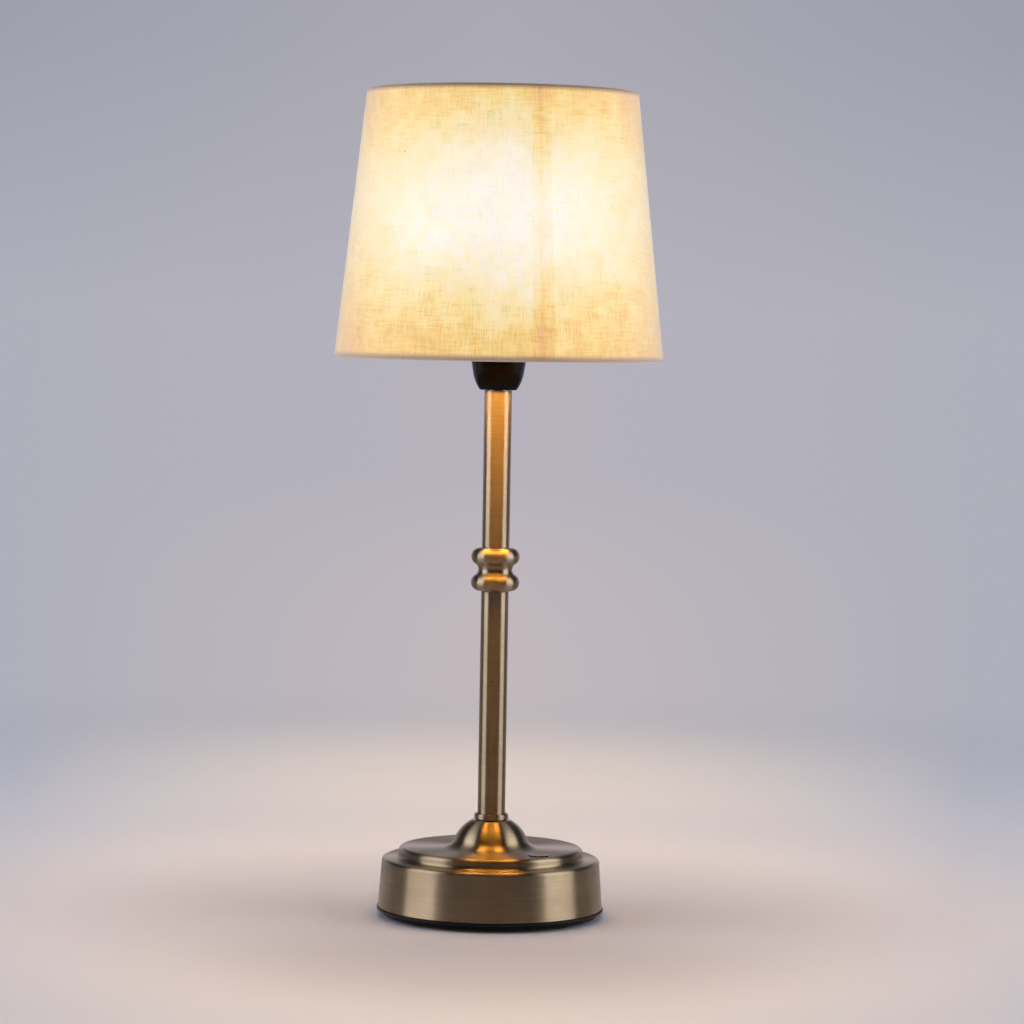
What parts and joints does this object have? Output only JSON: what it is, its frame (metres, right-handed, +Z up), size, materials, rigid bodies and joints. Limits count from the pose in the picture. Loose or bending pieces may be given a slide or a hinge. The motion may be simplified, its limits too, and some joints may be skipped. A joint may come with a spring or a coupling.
{
  "type": "table lamp",
  "caption": "Cordless table lamp with a weighted round base, a slim turned stem and a tapered linen drum shade, lit by a small screw bulb and switched by a push button on the base.",
  "frame": {"origin": "centre of the round base, on the surface that the lamp stands on", "axes": "+Z up along the stem; -Y is the front, with the push button to the right of it; +X to the right"},
  "size_m": [0.151, 0.151, 0.3796],
  "materials": {
    "black_plastic": "moulded, satin",
    "holder_plastic": "moulded, gloss",
    "rubber": "matt",
    "brass": "antique, brushed round the axis",
    "contact_brass": "plain",
    "steel": "zinc plated",
    "iron": "raw",
    "cell_case": "printed sleeve without words",
    "board": "lacquered",
    "red_lead": "insulation",
    "black_lead": "insulation",
    "ceramic": "white insulator",
    "bulb_metal": "tinned",
    "glass": "clear, warm when lit",
    "linen": "plain linen weave",
    "liner": "translucent backing"
  },
  "bodies": {
    "stand": {"foot_1": "rubber", "foot_2": "rubber", "foot_3": "rubber", "foot_4": "rubber", "base_housing": "black_plastic", "battery_1": "cell_case", "battery_2": "cell_case", "battery_3": "cell_case", "battery_spring_1": "steel", "battery_spring_2": "steel", "battery_spring_3": "steel", "contact_plus": "steel", "contact_link_1": "steel", "contact_link_2": "steel", "contact_minus": "steel", "base_weight": "iron", "base_screw_1": "steel", "base_screw_2": "steel", "base_screw_3": "steel", "base_shell": "brass", "switch_body": "black_plastic", "button_spring": "steel", "circuit_board": "board", "stem_rod": "steel", "rod_washer": "steel", "rod_nut": "steel", "lamp_lead_live": "red_lead", "lamp_lead_return": "black_lead", "battery_lead_plus": "red_lead", "battery_lead_minus": "black_lead", "stem_collar": "brass", "stem_lower": "brass", "stem_knuckle": "brass", "stem_upper": "brass", "holder_cap": "holder_plastic", "holder_core": "ceramic", "holder_shell": "holder_plastic", "holder_insert": "contact_brass", "centre_contact": "contact_brass"},
    "button": {"button_cap": "brass"},
    "battery_door": {"battery_door": "black_plastic"},
    "shade_nut": {"shade_nut": "holder_plastic"},
    "shade": {"shade_hub": "steel", "shade_arm_1": "steel", "shade_arm_2": "steel", "shade_arm_3": "steel", "shade_wire_bottom": "steel", "shade_wire_top": "steel", "shade_liner": "liner", "shade_seam_tape": "liner", "shade_fabric": "linen", "shade_hem_bottom": "linen", "shade_hem_top": "linen"},
    "bulb": {"bulb_tip": "ceramic", "bulb_cap": "bulb_metal", "bulb_collar": "ceramic", "bulb_glass": "glass", "bulb_stem": "glass"}
  },
  "joints": [
    {"name": "button_press", "type": "slide", "parent": "stand", "child": "button", "axis": [0, 0, -1], "range_m": [0, 0.0005], "stiffness_N_per_m": 1500, "deforming": ["button_spring"]},
    {"name": "battery_door_swing", "type": "hinge", "parent": "stand", "child": "battery_door", "pos_m": [-0.0277, 0, 0.0018], "axis": [0, 1, 0], "range_deg": [0, 90]},
    {"name": "shade_lift", "type": "slide", "parent": "stand", "child": "shade_nut", "axis": [0, 0, 1], "range_m": [0, 0.12]},
    {"name": "shade_turn", "type": "hinge", "parent": "shade_nut", "child": "shade", "pos_m": [0, 0, 0.2654], "axis": [0, 0, 1], "continuous": true},
    {"name": "bulb_lift", "type": "slide", "parent": "stand", "child": "bulb", "axis": [0, 0, 1], "range_m": [0, 0.13]}
  ]
}
